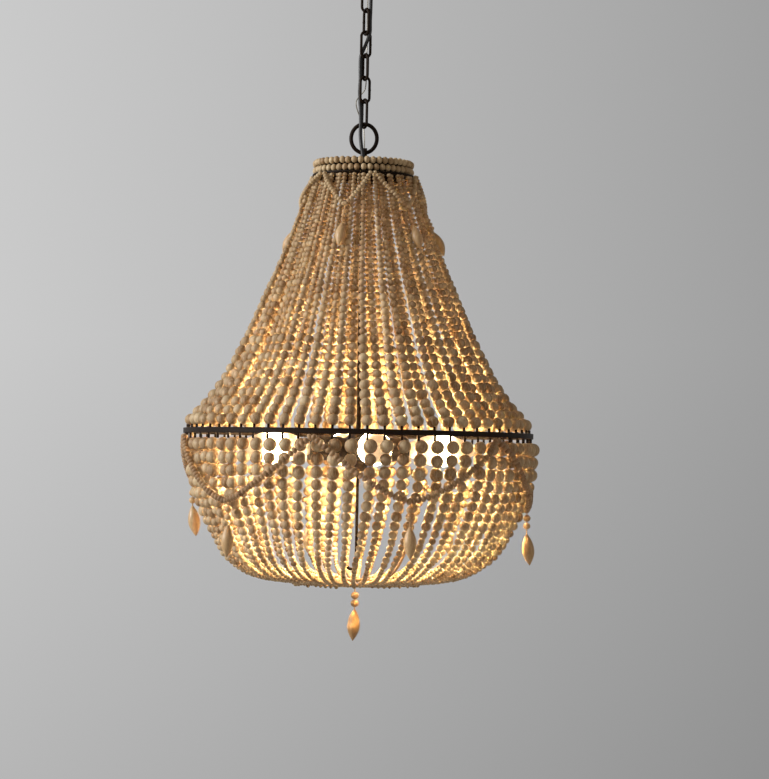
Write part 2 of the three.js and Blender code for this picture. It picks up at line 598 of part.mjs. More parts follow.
const finialZ = hookBottom - hook.radius - seatGap + hook.bendRise;
const finialX = -hook.rise / 4;
addPiece(fixture, 'finial_drop', turned(dropProfile(finial), 8).translate(finialX, 0, finialZ), dropWood);

// Degrees at a share of the way from a tie over the point to the next tie
function alongSwag(share, tie, point, next) {
  return share < 0.5 ? tie + 2 * share * (point - tie) : point + (2 * share - 1) * (next - point);
}

// Crown garland: ties under the flange and points on the tent
const crownSwagHalf = crownSwag.bead / 2;
const onTent = (z) => restingOn(tentStations, z, crownSwagHalf + crownSwag.restGap);
const crownGarland = [];
const crownPoints = [];
const crownTieZ = capTop - crownSwag.tieBelowCrown;
const crownPointZ = capTop - crownSwag.pointBelowCrown;
crownSwagTieDegrees.forEach((tie, number) => {
  const next = crownSwagTieDegrees[number + 1] ?? crownSwagTieDegrees[0] + 360;
  const point = crownSwagPointDegrees[number];
  for (const [along, down] of crownSagShares) {
    const z = crownTieZ + down * (crownPointZ - crownTieZ);
    const degrees = alongSwag(along, tie, point, next);
    crownGarland.push({ ...onTent(z), degrees, z, half: crownSwagHalf });
  }
  crownPoints.push({ ...onTent(crownPointZ), degrees: point, z: crownPointZ });
});
addPiece(fixture, 'crown_swags', lofted(crownGarland, 4, true), beadWood);

// Bowl garland: tied at the hoop, lying on the bowl's beads
const bowlSwagHalf = bowlSwag.bead / 2;
const bowlCrest = bowlStations[1];
const onBowl = (z) =>
  restingOn(bowlStations, Math.min(z, bowlCrest.z), bowlSwagHalf + bowlSwag.restGap);
const bowlGarland = [];
const bowlPoints = [];
bowlSwagTieDegrees.forEach((tie, number) => {
  const next = bowlSwagTieDegrees[number + 1] ?? bowlSwagTieDegrees[0] + 360;
  const point = bowlSwagPointDegrees[number];
  const depth = bowlSwagPointDepths[number];
  for (const [along, down] of bowlSagShares) {
    const z = -bowlSwag.tieBelowHoop - down * (depth - bowlSwag.tieBelowHoop);
    const degrees = alongSwag(along, tie, point, next);
    bowlGarland.push({ ...onBowl(z), degrees, z, half: bowlSwagHalf });
  }
  bowlPoints.push({ ...onBowl(-depth), degrees: point, z: -depth });
});
addPiece(fixture, 'bowl_swags', lofted(bowlGarland, 4, true), beadWood);

// A spindle drop hangs under each point, leaning in radians away from the axis
function hangDrops(name, points, size, swagHalf, lean) {
  points.forEach(({ degrees, radius, shift, z }, number) => {
    const geometry = turned(dropProfile(size), 6)
      .rotateX(-lean)
      .rotateZ(THREE.MathUtils.degToRad(degrees));
    const drop = addPiece(fixture, `${name}_${number + 1}`, geometry, dropWood);
    drop.position.set(...around(degrees, radius, z - swagHalf - seatGap));
    drop.position.x += shift;
  });
}
// The crown drops lean a little more than the strands under them
const crownDropReach =
  crownDrop.lead + 2 * crownDrop.beadRadius * crownDrop.beadCount + crownDrop.length;
const strandRun = onTent(crownPointZ - crownDropReach).radius - onTent(crownPointZ).radius;
const crownDropLean =
  Math.atan2(strandRun, crownDropReach) + THREE.MathUtils.degToRad(crownDrop.leanOver);
hangDrops('crown_drop', crownPoints, crownDrop, crownSwagHalf, crownDropLean);
hangDrops('bowl_drop', bowlPoints, bowlDrop, bowlSwagHalf, 0);

export default model;
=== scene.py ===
import json
import math
import random

import bmesh
import bpy
from mathutils import Matrix, Vector


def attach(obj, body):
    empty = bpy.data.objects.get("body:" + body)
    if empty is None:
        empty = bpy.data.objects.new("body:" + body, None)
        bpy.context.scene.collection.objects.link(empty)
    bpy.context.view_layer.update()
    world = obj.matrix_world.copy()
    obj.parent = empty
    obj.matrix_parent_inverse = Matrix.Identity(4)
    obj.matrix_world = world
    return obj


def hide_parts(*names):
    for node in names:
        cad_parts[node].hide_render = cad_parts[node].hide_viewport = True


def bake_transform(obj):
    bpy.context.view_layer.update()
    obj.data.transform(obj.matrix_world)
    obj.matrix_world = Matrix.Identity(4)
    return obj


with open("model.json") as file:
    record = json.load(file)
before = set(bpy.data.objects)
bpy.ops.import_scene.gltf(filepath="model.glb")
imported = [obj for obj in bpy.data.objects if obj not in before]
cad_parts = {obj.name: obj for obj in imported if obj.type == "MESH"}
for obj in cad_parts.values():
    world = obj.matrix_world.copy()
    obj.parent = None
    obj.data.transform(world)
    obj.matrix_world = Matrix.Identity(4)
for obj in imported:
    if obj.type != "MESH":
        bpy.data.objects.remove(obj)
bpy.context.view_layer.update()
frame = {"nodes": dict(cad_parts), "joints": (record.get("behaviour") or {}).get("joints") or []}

scene = bpy.context.scene
random.seed(66)

# Camera: level with the lower third of the lamp, 2.6 m away, with a long lens.
# It looks up a little and is rolled a little, as the photograph is.
camera_place = (0, -2.603, -0.5747)
look_right, look_up, roll = 0.59, 1.742, 1.07
camera = bpy.data.objects.new("camera", bpy.data.cameras.new("camera"))
scene.collection.objects.link(camera)
camera.data.sensor_fit = "VERTICAL"
camera.data.sensor_height = 36
camera.data.lens = 113.2
camera.matrix_world = (
    Matrix.Translation(camera_place)
    @ Matrix.Rotation(math.radians(-look_right), 4, "Z")
    @ Matrix.Rotation(math.radians(90 + look_up), 4, "X")
    @ Matrix.Rotation(math.radians(roll), 4, "Z")
)
scene.camera = camera
scene.view_settings.view_transform = "Standard"


# Studio: a plain pale floor far below, a pale grey wall's light all round, brighter on the left,
# and two large soft lamps, the stronger one on the left, hardly in front of the object.
def linear(code):
    """An sRGB hex value as the linear colour that the shaders take."""
    channels = [int(code[i:i + 2], 16) / 255 for i in (1, 3, 5)]
    return [c / 12.92 if c <= 0.04045 else ((c + 0.055) / 1.055) ** 2.4 for c in channels] + [1.0]


def add_node(tree, kind, inputs=None, **settings):
    """Adds a node with its settings; an input is a value, or another node's output to link."""
    added = tree.nodes.new(kind)
    for name, value in settings.items():
        setattr(added, name, value)
    for name, value in (inputs or {}).items():
        if isinstance(value, bpy.types.NodeSocket):
            tree.links.new(value, added.inputs[name])
        else:
            added.inputs[name].default_value = value
    return added


scene.world = bpy.data.worlds.new("studio")
scene.world.use_nodes = True
tree = scene.world.node_tree
tree.nodes.clear()
toward = add_node(tree, "ShaderNodeSeparateXYZ", {
    "Vector": add_node(tree, "ShaderNodeTexCoord").outputs["Generated"],
})
across = add_node(tree, "ShaderNodeMapRange", {
    "Value": toward.outputs["X"], "From Min": -0.16, "From Max": 0.18, "To Min": 0.6, "To Max": 0.34,
})
up = add_node(tree, "ShaderNodeMapRange", {
    "Value": toward.outputs["Z"], "From Min": -0.13, "From Max": 0.05, "To Min": 0.8, "To Max": 1.0,
})
wall_light = add_node(tree, "ShaderNodeMath", {0: across.outputs[0], 1: up.outputs[0]}, operation="MULTIPLY")
wall = add_node(tree, "ShaderNodeBackground", {"Color": wall_light.outputs[0]})
room = add_node(tree, "ShaderNodeBackground", {"Color": linear("#FFE8CE"), "Strength": 0.24})
rays = add_node(tree, "ShaderNodeLightPath")
glossy = add_node(tree, "ShaderNodeMath", {
    0: rays.outputs["Is Camera Ray"], 1: rays.outputs["Is Glossy Ray"],
}, operation="MAXIMUM")
seen = add_node(tree, "ShaderNodeMath", {
    0: glossy.outputs[0], 1: rays.outputs["Is Transmission Ray"],
}, operation="MAXIMUM")
mixed = add_node(tree, "ShaderNodeMixShader", {0: seen.outputs[0], 1: room.outputs[0], 2: wall.outputs[0]})
add_node(tree, "ShaderNodeOutputWorld", {"Surface": mixed.outputs[0]})

lit_middle = Vector((0, 0, -0.5))
for name, place, size, power in (
    ("key", (-3.1, -0.8, 0.6), 1.1, 122), ("fill", (2.4, -1.9, -0.2), 2.0, 4),
):
    lamp = bpy.data.lights.new(name, "AREA")
    lamp.size = size
    lamp.energy = power
    holder = bpy.data.objects.new(name, lamp)
    holder.location = place
    holder.rotation_euler = (lit_middle - Vector(place)).to_track_quat("-Z", "Y").to_euler()
    scene.collection.objects.link(holder)

floor_radius, floor_height = 9.0, -2.3
floor_paint = bpy.data.materials.new("pale floor paint")
floor_paint.use_nodes = True
surface = floor_paint.node_tree.nodes["Principled BSDF"]
surface.inputs["Base Color"].default_value = linear("#E4E3E0")
surface.inputs["Roughness"].default_value = 0.8
disc = bmesh.new()
bmesh.ops.create_circle(
    disc, cap_ends=True, segments=96, radius=floor_radius, matrix=Matrix.Translation((0, 0, floor_height)))
floor_mesh = bpy.data.meshes.new("floor")
disc.to_mesh(floor_mesh)
disc.free()
floor_mesh.materials.append(floor_paint)
floor = bpy.data.objects.new("floor", floor_mesh)
scene.collection.objects.link(floor)


# Ceiling fitting: a steel plate with a welded strap, a hollow nipple and a spun canopy cover,
# all powder coated black, which leaves a satin skin with a fine orange peel.
def finish_material(name, color, roughness, metallic=0.0):
    """A plain finish, with its node tree and its shader for what is added to it."""
    material = bpy.data.materials.new(name)
    material.use_nodes = True
    surface = material.node_tree.nodes["Principled BSDF"]
    surface.inputs["Base Color"].default_value = linear(color)
    surface.inputs["Roughness"].default_value = roughness
    surface.inputs["Metallic"].default_value = metallic
    return material, material.node_tree, surface


def place_in_mm(tree):
    """The place on the piece in mm, which every pattern's size is worked out in."""
    return add_node(tree, "ShaderNodeVectorMath", {
        0: add_node(tree, "ShaderNodeTexCoord").outputs["Object"], 1: (1000, 1000, 1000),
    }, operation="MULTIPLY").outputs[0]


def rough_skin(tree, surface, size, depth, low, high):
    """Grain of one size in mm: a bump as deep as depth, and a roughness between low and high."""
    grain = add_node(tree, "ShaderNodeTexNoise", {
        "Vector": place_in_mm(tree), "Scale": 1 / size, "Detail": 2.0, "Roughness": 0.6,
    })
    bump = add_node(tree, "ShaderNodeBump", {"Height": grain.outputs["Fac"], "Distance": depth * 0.001})
    gloss = add_node(tree, "ShaderNodeMapRange", {
        "Value": grain.outputs["Fac"], "From Min": 0.3, "From Max": 0.7, "To Min": low, "To Max": high,
    })
    tree.links.new(bump.outputs["Normal"], surface.inputs["Normal"])
    tree.links.new(gloss.outputs[0], surface.inputs["Roughness"])


# The powder coat is a soft black with a warm tone, with a fine peel and paler patches, in mm
coat_peel, coat_patch = 1.2, 22
powder_coat, tree, surface = finish_material("black powder coat on steel", "#1E150C", 0.5)
surface.inputs["Specular IOR Level"].default_value = 0.1
rough_skin(tree, surface, coat_peel, 0.12, 0.42, 0.6)
patches = add_node(tree, "ShaderNodeTexNoise", {
    "Vector": place_in_mm(tree), "Scale": 1 / coat_patch, "Detail": 3.0,
})
tones = add_node(tree, "ShaderNodeMix", {
    "Factor": patches.outputs["Fac"], "A": linear("#181009"), "B": linear("#271B11"),
}, data_type="RGBA")
tree.links.new(tones.outputs["Result"], surface.inputs["Base Color"])


def put(shape, name, material, body, slot, *nodes, sharp=35, blended=False):
    """Makes the finished piece from its shape in mm: its mesh, its finish, the body it rides on
    and the nodes it stands for. Slot is not used. Sharp is the angle past which an edge isn't shaded smooth."""
    mesh = bpy.data.meshes.new(name)
    bmesh.ops.transform(shape, matrix=Matrix.Scale(0.001, 4), verts=shape.verts)
    shape.to_mesh(mesh)
    shape.free()
    mesh.materials.append(material)
    mesh.shade_smooth()
    mesh.set_sharp_from_angle(angle=math.radians(sharp))
    piece = bpy.data.objects.new(name, mesh)
    scene.collection.objects.link(piece)
    if not blended:
        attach(piece, body)
    if nodes:
        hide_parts(*nodes)
    return piece


def turned(outline, steps, closed=True):
    """A profile of (radius, height) in mm, turned about Z; closed joins its last corner to its first."""
    section = bmesh.new()
    corners = [section.verts.new((radius, 0, height)) for radius, height in outline]
    for here, after in zip(corners, corners[1:]):
        section.edges.new((here, after))
    if closed:
        section.edges.new((corners[-1], corners[0]))
    bmesh.ops.spin(
        section, geom=section.verts[:] + section.edges[:], cent=(0, 0, 0), axis=(0, 0, 1),
        angle=math.tau, steps=steps, use_merge=True,
    )
    bmesh.ops.remove_doubles(section, verts=section.verts, dist=0.001)
    bmesh.ops.recalc_face_normals(section, faces=section.faces)
    return section


def keep_node(name, material):
    """A CAD node whose own shape is right: it keeps its mesh and gets its finish."""
    node = frame["nodes"][name]
    node.data.materials.clear()
    node.data.materials.append(material)


for name in ("ceiling_plate", "threaded_nipple", "crown_nut"):
    keep_node(name, powder_coat)

cover_outline = [
    (59, -0.5), (59.2, -3), (58.6, -9), (57, -15), (54.4, -21), (50.4, -26.6), (44.6, -31.4), (37, -35.4),
    (28, -38.6), (18, -40.9), (9, -42.2), (5.4, -42.5), (5.4, -41.3), (9, -41), (17.8, -39.7), (27.6, -37.4),
    (36.3, -34.3), (43.8, -30.4), (49.4, -25.8), (53.3, -20.4), (55.8, -14.7), (57.4, -8.9), (57.9, -3),
    (57.8, -0.5),
]
put(turned(cover_outline, 96), "canopy_cover_spun", powder_coat,
    "ceiling_mount", "black_metal", "canopy_cover")


# Screw collar: a turned steel sleeve with a bent wire bail welded under it, powder coated.
# The chain hangs on the bail and the cord passes down between its legs.
def drawn_wire(points, radius, sides, closed=False):
    """Round wire bent along its points, in mm: one ring of the wire is drawn from place to place."""
    shape = bmesh.new()
    points = [Vector(point) for point in points]
    count = len(points)
    ways = []
    for index, point in enumerate(points):
        before = points[index - 1] if closed or index else point
        after = points[(index + 1) % count] if closed or index < count - 1 else point
        ways.append((after - before).normalized())
    first = bmesh.ops.create_circle(shape, cap_ends=not closed, segments=sides, radius=radius)["verts"]
    turn = ways[0].to_track_quat("Z", "Y").to_matrix().to_4x4()
    bmesh.ops.transform(shape, matrix=Matrix.Translation(points[0]) @ turn, verts=first)
    ring = [edge for edge in shape.edges if edge.is_wire or len(edge.link_faces) < 2]
    start = ring
    for index in range(1, count):
        drawn = bmesh.ops.extrude_edge_only(shape, edges=ring)["geom"]
        corners = [part for part in drawn if isinstance(part, bmesh.types.BMVert)]
        bend = ways[index - 1].rotation_difference(ways[index]).to_matrix()
        bmesh.ops.rotate(shape, cent=points[index - 1], matrix=bend, verts=corners)
        bmesh.ops.translate(shape, vec=points[index] - points[index - 1], verts=corners)
        ring = [part for part in drawn if isinstance(part, bmesh.types.BMEdge)
                and all(corner in corners for corner in part.verts)]
    if closed:
        bmesh.ops.bridge_loops(shape, edges=ring + start)
    else:
        bmesh.ops.holes_fill(shape, edges=ring, sides=0)
    bmesh.ops.recalc_face_normals(shape, faces=shape.faces)
    return shape


def add_to(shape, other, matrix=None):
    """Adds another shape's faces to this one, moved by a matrix."""
    if matrix is not None:
        bmesh.ops.transform(other, matrix=matrix, verts=other.verts)
    carried = bpy.data.meshes.new("carried")
    other.to_mesh(carried)
    other.free()
    shape.from_mesh(carried)
    bpy.data.meshes.remove(carried)
    return shape


collar = turned([
    (3.2, -53.8), (9.6, -53.8), (11.1, -53.2), (11.5, -52.2), (11.5, -48.6), (10.8, -48.2), (10.8, -47.6),
    (11.5, -47.2), (11.5, -44), (10.9, -42.9), (5.3, -42.9), (5.3, -49.8), (3.2, -49.8),
], 48)
bail_radius, bail_z, bail_wire = 9, -59.8, 4
bail_line = [(-bail_radius, 0, -52), (-bail_radius, 0, -56), (-bail_radius, 0, bail_z)]
for degrees in range(195, 360, 15):
    angle = math.radians(degrees)
    bail_line.append((bail_radius * math.cos(angle), 0, bail_z + bail_radius * math.sin(angle)))
bail_line += [(bail_radius, 0, bail_z), (bail_radius, 0, -56), (bail_radius, 0, -52)]
chain_turn = math.radians(27)
across_turn = Matrix.Rotation(chain_turn + math.pi / 2, 4, "Z")
put(add_to(collar, drawn_wire(bail_line, bail_wire / 2, 16), across_turn), "collar_and_bail", powder_coat,
    "ceiling_mount", "black_metal", "canopy_loop")


# Chain: six links of 2.9 mm steel wire, each bent to a long ring and butt welded on one side,
# which leaves a small swelling. Every other link is turned a quarter.
def long_ring(half_width, height):
    """The middle line of a link that is longer than wide, hung with its top at 0."""
    straight = height / 2 - half_width
    line = []
    for step in range(24):
        angle = math.tau * (step + 0.5) / 24
        lift = math.copysign(straight, math.sin(angle))
        line.append((half_width * math.cos(angle), 0, half_width * math.sin(angle) + lift - height / 2))
    return line


link_wire, link_half_width = 2.9, 5.45
link_height, lowest_link_height, link_overlap = 27.5, 30.2, 3.2
link_top = -65.05
joint_heights = [-68.8]
for number in range(6, 0, -1):
    height = lowest_link_height if number == 1 else link_height
    link = drawn_wire(long_ring(link_half_width, height), link_wire / 2, 12, closed=True)
    bmesh.ops.create_uvsphere(
        link, u_segments=12, v_segments=8, radius=1,
        matrix=Matrix.Translation((link_half_width, 0, -height / 2)) @ Matrix.Diagonal((1.66, 1.66, 2.2, 1)),
    )
    turn = chain_turn + (number % 2) * math.pi / 2
    bmesh.ops.transform(
        link, matrix=Matrix.Translation((0, 0, link_top)) @ Matrix.Rotation(turn, 4, "Z"), verts=link.verts)
    put(link, f"link_{number}_bent", powder_coat, f"link_{number}", "black_metal", f"chain_link_{number}")
    joint_heights.append(link_top - height)
    link_top -= height - link_overlap
eye_z = -243.7
joint_heights.append(eye_z)

# Hanging ring: one turn of 4.2 mm steel wire, welded at the top and powder coated black.
# It is a little taller than wide and joins the lowest link to the knuckle's eye.
ring_z, ring_half_width, ring_half_height, ring_wire = -228.3, 13.75, 15.4, 4.2
ring_line = []
for step in range(48):
    angle = math.tau * step / 48
    ring_line.append((ring_half_width * math.cos(angle), 0, ring_z + ring_half_height * math.sin(angle)))
put(drawn_wire(ring_line, ring_wire / 2, 16, closed=True), "hanging_ring_bent", powder_coat,
    "ring", "black_metal", "hanging_ring")

# Knuckle: a cast eye on a turned flange, which is screwed to the crown.
# The eye holds the ring; beside it two holes lead the cord and the earth wire inside.
knuckle = turned([(3.4, -253.3), (13, -253.3), (13, -250.3), (12.2, -249.4), (3.4, -249.3)], 48)
eye = turned([
    (3.1, -3.3), (3.4, -3.5), (4.9, -3.5), (5.2, -3.2), (5.2, 3.2), (4.9, 3.5), (3.4, 3.5), (3.1, 3.3),
], 32)
add_to(knuckle, eye, Matrix.Translation((0, 0, eye_z)) @ Matrix.Rotation(math.pi / 2, 4, "Y"))
foot = bmesh.new()
foot_place, foot_size = Matrix.Translation((0, 0, -248.4)), Matrix.Diagonal((7, 9, 2.6, 1))
bmesh.ops.create_cube(foot, size=1, matrix=foot_place @ foot_size)
bmesh.ops.bevel(foot, geom=foot.edges[:], offset=0.5, affect="EDGES", segments=2, profile=0.5, material=-1)
put(add_to(knuckle, foot), "knuckle_cast", powder_coat, "fixture", "black_metal", "ring_knuckle")

# Supply cord and earth wire: a round black sheath 3.8 mm thick and a thin tinned strand,
# woven down through the links into the knuckle. Each is cut into pieces at mid-link.
sheath, tree, surface = finish_material("black extruded cord sheath", "#120F0D", 0.55)
rough_skin(tree, surface, 2.5, 0.05, 0.42, 0.6)
tinned, tree, surface = finish_material("tinned copper strand", "#A39E92", 0.5, 0.9)
rough_skin(tree, surface, 0.6, 0.04, 0.45, 0.6)


def smooth_line(points, steps):
    """A smooth line through all the points, with this many steps from each one to the next."""
    ends = [points[0] * 2 - points[1]] + points + [points[-1] * 2 - points[-2]]
    line = []
    for index in range(1, len(ends) - 2):
        a, b, c, d = ends[index - 1:index + 3]
        for step in range(steps):
            t = step / steps
            line.append(0.5 * (2 * b + (c - a) * t + (2 * a - 5 * b + 4 * c - d) * t * t
                               + (3 * b - a - 3 * c + d) * t ** 3))
    return line + [points[-1]]


cord_route = [
    (0, -0.9, -46), (0, -0.9, -54.5), (2.2, -1.2, -60.5), (4.8, -2.2, -67.2), (4.6, -2.3, -79),
    (4.5, -1.3, -91), (4.2, -1, -103), (4.2, -1.1, -114), (2.4, -0.8, -121), (0, 0, -127.4),
    (-2.6, 0.9, -133.6), (-5.1, 1.7, -140.5), (-5.4, 1.8, -152), (-5.1, 1.7, -164),
    (-5.6, 1.6, -176), (-5.2, 1.6, -187), (-4.4, -1, -197), (-4, -3.6, -206),
    (-3.9, -5.3, -214), (-3.9, -6, -226), (-2.6, -7.4, -238), (-1.2, -8.4, -245), (-1, -8.6, -252),
]
earth_route = [
    (0, 2.2, -46), (0, 2.2, -54.5), (0.6, 3.2, -60.5), (1.5, 3.7, -67), (1.2, 4, -79),
    (1.2, 3.9, -91), (1.2, 4.2, -103), (1.2, 3.9, -115), (1.3, 4.1, -127), (1.2, 3.9, -139.5),
    (1.2, 4.2, -152), (1.2, 3.9, -164), (0, 4.8, -175), (-4.5, 5.6, -181), (-8.2, 4.2, -186),
    (-9.2, 2.8, -191), (-7.8, 4.6, -197), (-5, 7, -204), (-1.5, 8, -213), (0.2, 7.2, -224),
    (0.6, 7.6, -238), (0.8, 8.4, -246), (0.8, 8.6, -252),
]
cord_width, earth_width = 3.8, 1.2
chain_bodies = ["ceiling_mount"] + [f"link_{number}" for number in range(6, 0, -1)] + ["ring", "fixture"]
for route, name, width, sides, finish, slot, node in (
    (cord_route, "cord", cord_width, 16, sheath, "cord_sheath", "supply_cord"),
    (earth_route, "earth", earth_width, 8, tinned, "tinned_wire", "earth_wire"),
):
    line = smooth_line([Vector(point) for point in route], 5)
    for index in range(len(chain_bodies) - 1):
        last = index == len(chain_bodies) - 2
        top = 0 if index == 0 else (joint_heights[index - 1] + joint_heights[index]) / 2
        low = -300 if last else (joint_heights[index] + joint_heights[index + 1]) / 2
        inside = [number for number, point in enumerate(line) if low <= point.z <= top]
        part = line[max(inside[0] - 1, 0):inside[-1] + 1]
        wire = drawn_wire(part, width / 2, sides)
        piece = put(wire, f"{name}_{index + 1}", finish, "", slot, node, blended=True)
        height = joint_heights[index] * 0.001
        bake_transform(piece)

# Crown: a cap spun from sheet steel with a skirt and a flange, powder coated black.
# The knuckle is screwed on top; the nut inside, which holds the stem, is the CAD node's own.
crown_z = -253.6
put(turned([
    (3.3, crown_z), (45.6, crown_z), (46.7, crown_z - 0.4), (47.2, crown_z - 1.4), (47.2, crown_z - 14.6),
    (53.8, crown_z - 14.6), (54.2, crown_z - 14.9), (54.2, crown_z - 15.7), (53.9, crown_z - 16),
    (45.6, crown_z - 16), (45.6, crown_z - 2.8), (44.8, crown_z - 1.8), (3.3, crown_z - 1.6),
], 96), "crown_cap_spun", powder_coat, "fixture", "black_metal", "crown_cap")


# Beads: light hardwood balls, turned, sanded and left raw, so they are matt with a faint grain.
# Each has its own tone and its own piece of grain, held in an attribute of its mesh.
def bead_wood(name, pale, deep, low, high):
    """Wood between a pale and a deep colour, with a roughness between low and high."""
    grain_width = 1.7
    material, tree, surface = finish_material(name, pale, 0.6)
    tone = add_node(tree, "ShaderNodeAttribute", attribute_name="tone").outputs["Fac"]
    shifted = add_node(tree, "ShaderNodeVectorMath", {
        0: place_in_mm(tree), 1: (1, 1, 0.28),
    }, operation="MULTIPLY")
    apart = add_node(tree, "ShaderNodeMath", {0: tone, 1: 913.0}, operation="MULTIPLY")
    grain = add_node(tree, "ShaderNodeTexNoise", {
        "Vector": shifted.outputs[0], "W": apart.outputs[0],
        "Scale": 1 / grain_width, "Detail": 3.0, "Roughness": 0.65,
    }, noise_dimensions="4D")
    streaks = add_node(tree, "ShaderNodeMapRange", {
        "Value": grain.outputs["Fac"], "From Min": 0.35, "From Max": 0.7, "To Min": 0.0, "To Max": 0.5,
    })
    share = add_node(tree, "ShaderNodeMath", {
        0: tone, 1: 0.6, 2: streaks.outputs[0],
    }, operation="MULTIPLY_ADD")
    colors = add_node(tree, "ShaderNodeMix", {
        "Factor": share.outputs[0], "A": linear(pale), "B": linear(deep),
    }, data_type="RGBA")
    tree.links.new(colors.outputs["Result"], surface.inputs["Base Color"])
    gloss = add_node(tree, "ShaderNodeMapRange", {
        "Value": grain.outputs["Fac"], "From Min": 0.3, "From Max": 0.7, "To Min": low, "To Max": high,
    })
    tree.links.new(gloss.outputs[0], surface.inputs["Roughness"])
    bump = add_node(tree, "ShaderNodeBump", {"Height": grain.outputs["Fac"], "Distance": 0.00015})
    tree.links.new(bump.outputs["Normal"], surface.inputs["Normal"])
    return material


raw_beads = bead_wood("raw turned hardwood beads", "#CFBA95", "#86643C", 0.5, 0.7)
upright = Vector((0, 0, 1))


def add_bead(shape, place, way, width, length, segments=10, rings=8, depth=0.5):
    """A turned ball on its thread: its place, the thread's way through it, and its size in mm.
    Depth is how deep its colour is, from 0 to 1."""
    if not shape.verts.layers.float.get("tone"):
        shape.verts.layers.float.new("tone")
    spin = Matrix.Rotation(random.uniform(0, math.tau), 4, "Z")
    lean = way.to_track_quat("Z", "Y").to_matrix().to_4x4()
    size = Matrix.Diagonal((width, width, length, 1))
    made = bmesh.ops.create_uvsphere(
        shape, u_segments=segments, v_segments=rings, radius=0.5,
        matrix=Matrix.Translation(place) @ lean @ spin @ size,
    )["verts"]
    tones = shape.verts.layers.float.get("tone")
    tone = min(max(random.gauss(depth, 0.28), 0), 1)
    for corner in made:
        corner[tones] = tone


def around(degrees, radius, height):
    """A place round the lamp's axis: 0 degrees is the front and 90 is its right side."""
    angle = math.radians(degrees)
    return Vector((radius * math.sin(angle), -radius * math.cos(angle), height))


# Two rows of beads go round the crown on a wire, the upper one set half a bead on
row_beads, row_radius = 48, 50.9
band = bmesh.new()
for height, start in ((-264.4, 0), (-256.7, 3.75)):
    for number in range(row_beads):
        degrees = start + number * 360 / row_beads + random.gauss(0, 0.25)
        place = around(degrees, row_radius, height + random.gauss(0, 0.15))
        add_bead(band, place, upright, width=6.5, length=7.6, depth=0.28)
put(band, "band_of_beads", raw_beads, "fixture", "bead_wood", "band_beads", sharp=180)

# Frame: a flat steel hoop at the widest place, powder coated black, a round wire hoop under the bowl,
# and three bent rods behind the strands that hold the hoops apart, painted in the beads' colour.
hoop_z = -543.0
put(turned([
    (183.6, hoop_z - 2.8), (185.3, hoop_z - 2.8), (185.6, hoop_z - 2.5), (185.6, hoop_z + 2.5),
    (185.3, hoop_z + 2.8), (183.6, hoop_z + 2.8), (183.4, hoop_z + 2.5), (183.4, hoop_z - 2.5),
], 144), "equator_hoop_rolled", powder_coat, "fixture", "black_metal", "equator_hoop")
bottom_radius, bottom_z, bottom_wire = 62, hoop_z - 158, 4
section = []
for step in range(12):
    angle = math.tau * step / 12
    section.append((bottom_radius + bottom_wire / 2 * math.cos(angle),
                    bottom_z + bottom_wire / 2 * math.sin(angle)))
sand_paint, tree, surface = finish_material("sand-coloured paint on steel", "#B5966A", 0.6)
rough_skin(tree, surface, 1.5, 0.06, 0.5, 0.68)
put(turned(section, 96), "bottom_hoop_bent", sand_paint, "fixture", "sand_metal", "bottom_hoop", sharp=180)

strand_count, sector_strands = 66, 11
# The strands' middle lines, as height over the equator hoop and radius, from the photograph
tent_line = smooth_line([Vector((r, 0, z)) for z, r in (
    (3.4, 180.5), (12, 177.4), (21, 169.4), (38.4, 153.4), (63.3, 138), (91.2, 123), (118.9, 111),
    (152.3, 96.7), (188.4, 81.8), (224.5, 68.5), (250, 60), (272, 53.4),
)], 8)
bowl_line = smooth_line([Vector((r, 0, z)) for z, r in (
    (-3.1, 182.6), (-14.2, 181.6), (-38, 179.2), (-62.5, 175), (-84.8, 165.8), (-110.3, 153.6), (-124, 146),
    (-134, 137), (-141.5, 128), (-148, 116.5), (-152, 104), (-154.6, 87), (-155.6, 72), (-156.6, 66.4),
)], 8)


def lean_at(height):
    """How far the bowl's strands hang to the right, at a height over the hoop."""
    table = ((0, 0), (-10, 3.4), (-57, 4.2), (-117, 3.8), (-142, 1.3), (-154, 0.4), (-158, 0))
    for (z0, lean0), (z1, lean1) in zip(table, table[1:]):
        if z1 <= height <= z0:
            return Vector((lean0 + (lean1 - lean0) * (height - z0) / (z1 - z0), 0, 0))
    return Vector((0, 0, 0))


def line_length(line):
    return sum((b - a).length for a, b in zip(line, line[1:]))


def at(line, distance):
    """The place this far along the line, and the line's way there."""
    for a, b in zip(line, line[1:]):
        step = (b - a).length
        if distance <= step or b is line[-1]:
            return a.lerp(b, distance / step), (b - a).normalized()
        distance -= step


rod_width, rod_at_hoop = 2.6, 181.2
for number in range(3):
    degrees = (3.5 + strand_count // 3 * number) * 360 / strand_count
    rod_line = [around(degrees, 43.5, -262), around(degrees, 43.9, -273)]
    for share in (0.86, 0.7, 0.55, 0.4, 0.25, 0.1):
        place, way = at(tent_line, share * line_length(tent_line))
        inward = Vector((-way.z, 0, way.x)) * (3.8 + 4.8 * (1 - share))
        rod_line.append(around(degrees, place.x + inward.x, hoop_z + place.z + inward.z))
    rod_line.append(around(degrees, rod_at_hoop, hoop_z + 4))
    rod_line.append(around(degrees, rod_at_hoop, hoop_z - 4))
    for share in (0.1, 0.25, 0.4, 0.55, 0.7, 0.85):
        place, way = at(bowl_line, share * line_length(bowl_line))
        inward = Vector((way.z, 0, -way.x)) * (9.4 - 4.8 * share)
        rod_line.append(around(degrees, place.x + inward.x, hoop_z + place.z + inward.z) + lean_at(place.z))
    rod_line.append(around(degrees, bottom_radius, hoop_z - 154.4))
    put(drawn_wire(smooth_line(rod_line, 3), rod_width / 2, 10), f"frame_rod_{number + 1}", sand_paint,
        "fixture", "sand_metal", f"frame_rib_{number + 1}")

